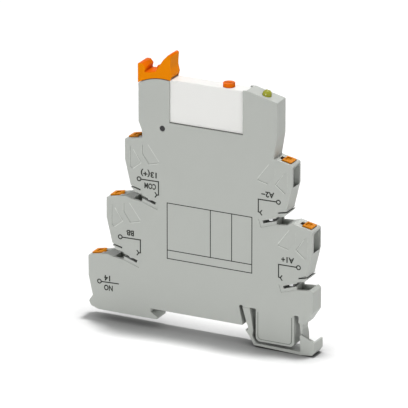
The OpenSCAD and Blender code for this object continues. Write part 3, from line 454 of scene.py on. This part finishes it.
def ring_on_face(name, x, z):
    """A ring on the face."""
    bpy.ops.mesh.primitive_circle_add(vertices=40, radius=RING_OUTER * MM, fill_type="NGON",
                                      location=(x * MM, (-HALF_T - INK_SKIN) * MM, z * MM),
                                      rotation=(math.pi / 2, 0, 0))
    ring = bpy.context.object
    ring.name = name
    settle(ring)
    bpy.ops.object.mode_set(mode="EDIT")
    bpy.ops.mesh.select_all(action="SELECT")
    bpy.ops.mesh.inset(thickness=(RING_OUTER - RING_INNER) * MM)
    bpy.ops.mesh.delete(type="FACE")
    bpy.ops.mesh.select_all(action="SELECT")
    bpy.ops.mesh.extrude_region_move(TRANSFORM_OT_translate={"value": (0, 2 * INK_SKIN * MM, 0)})
    bpy.ops.mesh.select_all(action="SELECT")
    bpy.ops.mesh.normals_make_consistent(inside=False)
    bpy.ops.object.mode_set(mode="OBJECT")
    return ring


def joined(name, parts, material, body):
    """Makes one object of several, with one material, riding on a body."""
    only(parts[0])
    if len(parts) > 1:
        for part in parts:
            part.select_set(True)
        bpy.ops.object.join()
    whole = parts[0]
    whole.name = name
    whole.data.name = name
    whole.data.materials.clear()
    whole.data.materials.append(material)
    settle(whole)
    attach(whole, body)


def terminal_symbol(name, circle, corner, fork_z):
    """The contact symbol beside a terminal: a ring, a lead to a corner, and a small fork below it."""
    x, z = circle
    inward = 1 if corner[0] > x else -1
    parts = [ring_on_face(name, x, z)]
    parts.append(bar_on_face(name, (x + inward * LEAD_FROM, z), corner, INK_LINE))
    if fork_z is not None:
        neck = (corner[0], fork_z)
        fork = (corner[0] - inward * FORK_STEP, fork_z - FORK_DROP)
        parts.append(bar_on_face(name, corner, neck, INK_LINE))
        parts.append(bar_on_face(name, neck, fork, INK_LINE))
        for spread in (FORK_SPREAD, -FORK_SPREAD):
            prong = (fork[0] - inward * FORK_STEP, fork[1] + spread)
            parts.append(bar_on_face(name, fork, prong, INK_LINE))
    joined(name, parts, print_ink, HOUSING)


terminal_symbol("symbol_l1", (-21.5, 44.0), (-14.5, 44.1), 39.6)
terminal_symbol("symbol_l2", (-28.4, 23.0), (-21.1, 23.1), 18.7)
terminal_symbol("symbol_l3", (-36.1, 6.4), (-29.2, 6.6), None)
terminal_symbol("symbol_r1", (28.25, 44.05), (21.15, 43.95), 39.7)
terminal_symbol("symbol_r2", (35.45, 23.05), (28.4, 23.0), 18.7)

# The height of the capitals, and its share of the size that the font counts in
LETTERS, CAPITAL_SHARE = 1.8, 0.7
# How much fatter the strokes are than the font's, how deep their middle lies, and their reach from it
LETTER_FAT, LETTER_SINK, LETTER_SKIN = 0.1, 0.01, 0.03
# Name, words, x, z, and width as a share of the font's
LABELS = (
    ("label_l1", "13(+)", -17.8, 46.2, 1.1),
    ("label_common", "COM", -17.5, 42.2, 0.72),
    ("label_l2", "BB", -24.7, 25.0, 0.95),
    ("label_l3", "14", -33.0, 8.0, 1.0),
    ("label_open", "NO", -32.8, 4.7, 0.8),
    ("label_r1", "A2\u2212", 24.4, 46.1, 1.0),
    ("label_r2", "A1+", 31.5, 25.1, 1.0),
)
# The words stand upside down on the face, as on the real module
for name, words, x, z, narrow in LABELS:
    bpy.ops.object.text_add(location=(x * MM, (-HALF_T + LETTER_SINK) * MM, z * MM),
                            rotation=(math.pi / 2, math.pi, 0))
    label = bpy.context.object
    label.data.body = words
    label.data.align_x = "CENTER"
    label.data.align_y = "CENTER"
    label.data.size = LETTERS * MM / CAPITAL_SHARE
    label.data.offset = LETTER_FAT * MM
    label.data.extrude = LETTER_SKIN * MM
    label.data.resolution_u = 3
    label.scale = (narrow, 1, 1)
    bpy.ops.object.convert(target="MESH")
    joined(name, [bpy.context.object], print_ink, HOUSING)

# The empty table: its sides, the line above its lowest row, and the columns above that
TABLE_L, TABLE_R, TABLE_LOW, TABLE_TOP = -11.4, 18.9, 18.4, 37.4
TABLE_ROW, TABLE_COLUMNS, TABLE_LINE = 21.3, (4.1, 11.7), 0.3
table_lines = [((TABLE_L, z), (TABLE_R, z)) for z in (TABLE_LOW, TABLE_TOP)]
table_lines += [((x, TABLE_LOW), (x, TABLE_TOP)) for x in (TABLE_L, TABLE_R)]
table_lines += [((TABLE_L, TABLE_ROW), (TABLE_R, TABLE_ROW))]
table_lines += [((x, TABLE_ROW), (x, TABLE_TOP)) for x in TABLE_COLUMNS]
table_bars = [bar_on_face("table_line", a, b, TABLE_LINE) for a, b in table_lines]
joined("table_frame", table_bars, print_ink, HOUSING)


# Painted shade along the fine groove of the tongue, and painted highlight and shade on the rims of the
# bays
TONGUE_L, TONGUE_R, TONGUE_TOP, TONGUE_LOW, TONGUE_BEND = 21.12, 33.08, 5.4, -3.78, 1.2
# Straight pieces in each rounded corner
BEND_STEPS = 4
GROOVE_LINE, GROOVE_SKIN = 0.2, 0.008
groove = [(TONGUE_L, TONGUE_TOP)]
for centre_x, start in ((TONGUE_L + TONGUE_BEND, 180), (TONGUE_R - TONGUE_BEND, 270)):
    for step in range(BEND_STEPS + 1):
        angle = math.radians(start + step * 90 / BEND_STEPS)
        groove.append((centre_x + TONGUE_BEND * math.cos(angle),
                       TONGUE_LOW + TONGUE_BEND + TONGUE_BEND * math.sin(angle)))
groove.append((TONGUE_R, TONGUE_TOP))
# Dark bars of painted shade along the groove
groove_bars = [bar_on_face("groove_shade_line", a, b, GROOVE_LINE, GROOVE_SKIN)
               for a, b in zip(groove, groove[1:])]
joined("tongue_groove_shade", groove_bars, groove_shade, HOUSING)

# Painted highlight where the rims of the topmost left bay catch the light, and painted shade where they
# lie in shade
LIT_RIMS = (
    ((-23.5, 53.65), (-20.9, 49.8)),
    ((-20.7, 49.55), (-23.7, 47.15)),
    ((-14.4, 51.0), (-18.2, 56.1)),
    ((-14.6, 50.2), (-17.8, 49.4)),
)
SHADED_RIMS = (
    ((-24.85, 54.3), (-24.85, 47.8)),
    ((-20.5, 55.6), (-20.5, 52.8)),
)
# The step from the topmost bays to the next ones
LEVEL_STEP = (-6.75, -21.0)
# At each level, the sum of x at the left and at the right
MIRROR_X = (6.5, 7.05)
RIM_LINE, RIM_SKIN = 0.24, 0.006


def bay_rims(name, rims, material):
    """Painted highlight and shade on the same rims at the four terminals that have bays."""
    parts = []
    for level, mirror_x in enumerate(MIRROR_X):
        for rim in rims:
            left = [(x + level * LEVEL_STEP[0], z + level * LEVEL_STEP[1]) for x, z in rim]
            right = [(mirror_x - x, z) for x, z in left]
            parts.append(bar_on_face(name, *left, RIM_LINE, RIM_SKIN))
            parts.append(bar_on_face(name, *right, RIM_LINE, RIM_SKIN))
    joined(name, parts, material, HOUSING)


bay_rims("bay_rims_lit", LIT_RIMS, rim_highlight)
bay_rims("bay_rims_shaded", SHADED_RIMS, rim_shade)


# Floor and surroundings
def backdrop_rays(tree):
    """A value of 1 for what the camera sees, by itself, in a reflection or through a clear piece."""
    path = place(tree, "ShaderNodeLightPath")
    seen = path.outputs["Is Camera Ray"]
    for ray in ("Is Glossy Ray", "Is Transmission Ray"):
        larger = place(tree, "ShaderNodeMath", operation="MAXIMUM")
        tree.links.new(seen, larger.inputs[0])
        tree.links.new(path.outputs[ray], larger.inputs[1])
        seen = larger.outputs["Value"]
    return seen


def shown_apart(tree, out, usual, shown):
    """Gives one shader's colour to the picture and the other's light to the object."""
    pick = place(tree, "ShaderNodeMixShader")
    tree.links.new(backdrop_rays(tree), pick.inputs["Fac"])
    tree.links.new(usual, pick.inputs[1])
    tree.links.new(shown, pick.inputs[2])
    tree.links.new(pick.outputs["Shader"], out.inputs["Surface"])


FLOOR_COLOUR = (0.95, 0.95, 0.95, 1.0)
FLOOR_SIZE, FLOOR_GAP = 6000, 0.02
# How far the painted shade beside the object spreads on the floor
SHADE_REACH = 15


def white_floor():
    """White, with the object's shadow from the lamps and a painted soft shade where it stands."""
    made = bpy.data.materials.new("floor_white")
    tree = emptied(made)
    # An occlusion node paints the shade on the floor near the object
    near = place(tree, "ShaderNodeAmbientOcclusion", samples=16, Color=FLOOR_COLOUR,
                 Distance=SHADE_REACH * MM)
    deeper = place(tree, "ShaderNodeGamma", Gamma=1.35)
    soft = place(tree, "ShaderNodeBsdfDiffuse")
    glow = place(tree, "ShaderNodeEmission", Strength=0.12)
    both = place(tree, "ShaderNodeAddShader")
    out = place(tree, "ShaderNodeOutputMaterial")
    tree.links.new(near.outputs["Color"], deeper.inputs["Color"])
    tree.links.new(deeper.outputs["Color"], soft.inputs["Color"])
    tree.links.new(deeper.outputs["Color"], glow.inputs["Color"])
    tree.links.new(soft.outputs["BSDF"], both.inputs[0])
    tree.links.new(glow.outputs["Emission"], both.inputs[1])
    shown_apart(tree, out, soft.outputs["BSDF"], both.outputs["Shader"])
    return made


lowest_z = cad_box[0][2]
bpy.ops.mesh.primitive_plane_add(size=FLOOR_SIZE * MM, location=(0, 0, lowest_z - FLOOR_GAP * MM))
floor = bpy.context.object
floor.name = "floor"
floor.data.materials.append(white_floor())
settle(floor)

world = bpy.data.worlds.new("studio")
scene.world = world
world_tree = emptied(world)
dim = place(world_tree, "ShaderNodeBackground", Color=WHITE, Strength=0.16)
plain = place(world_tree, "ShaderNodeBackground", Color=WHITE, Strength=1.0)
world_out = place(world_tree, "ShaderNodeOutputWorld")
shown_apart(world_tree, world_out, dim.outputs["Background"], plain.outputs["Background"])


# Lamps, in metres and watts
MIDDLE = (0, 0, 0.04)


def softbox(name, where, size, power):
    """A square studio lamp that faces the middle of the object."""
    light = bpy.data.lights.new(name, "AREA")
    light.shape = "SQUARE"
    light.size = size
    light.energy = power
    lamp = bpy.data.objects.new(name, light)
    scene.collection.objects.link(lamp)
    lamp.location = where
    lamp.rotation_euler = (Vector(MIDDLE) - Vector(where)).to_track_quat("-Z", "Y").to_euler()


softbox("key_lamp", (-0.5, -1.9, 0.36), size=0.6, power=14.0)
softbox("fill_lamp", (1.8, -0.9, 0.36), size=0.6, power=9.5)
softbox("top_lamp", (0.18, 0.22, 2.2), size=0.22, power=38.0)
softbox("back_lamp", (-0.5, 1.9, 0.45), size=0.6, power=8.0)


# Camera, in metres
AZIMUTH = math.radians(26.5)
ELEVATION = math.radians(20.0)
DISTANCE = 1.9
PIXELS_PER_MM = 3.125
FRAME_PX = 408
# The film's width in millimetres, the camera's own unit for it and for the lens
FILM = 36
to_camera = Vector((math.sin(AZIMUTH) * math.cos(ELEVATION), -math.cos(AZIMUTH) * math.cos(ELEVATION),
                    math.sin(ELEVATION)))
right = Vector((math.cos(AZIMUTH), math.sin(AZIMUTH), 0))
up = right.cross(-to_camera)
# A point of the printed face, and the pixel at which it shows
anchor = Vector((0, -HALF_T, 40)) * MM
anchor_px = Vector((198.9, 200.7))
to_right = (FRAME_PX / 2 - anchor_px.x) / PIXELS_PER_MM * MM
downwards = (FRAME_PX / 2 - anchor_px.y) / PIXELS_PER_MM * MM
aim = anchor + right * to_right - up * downwards
camera_data = bpy.data.cameras.new("camera")
camera_data.sensor_width = FILM
camera_data.lens = PIXELS_PER_MM * DISTANCE / MM / FRAME_PX * FILM
camera_data.clip_end = 20
camera = bpy.data.objects.new("camera", camera_data)
scene.collection.objects.link(camera)
camera.location = aim + to_camera * DISTANCE
camera.rotation_euler = (-to_camera).to_track_quat("-Z", "Y").to_euler()
scene.camera = camera
scene.view_settings.view_transform = "Standard"
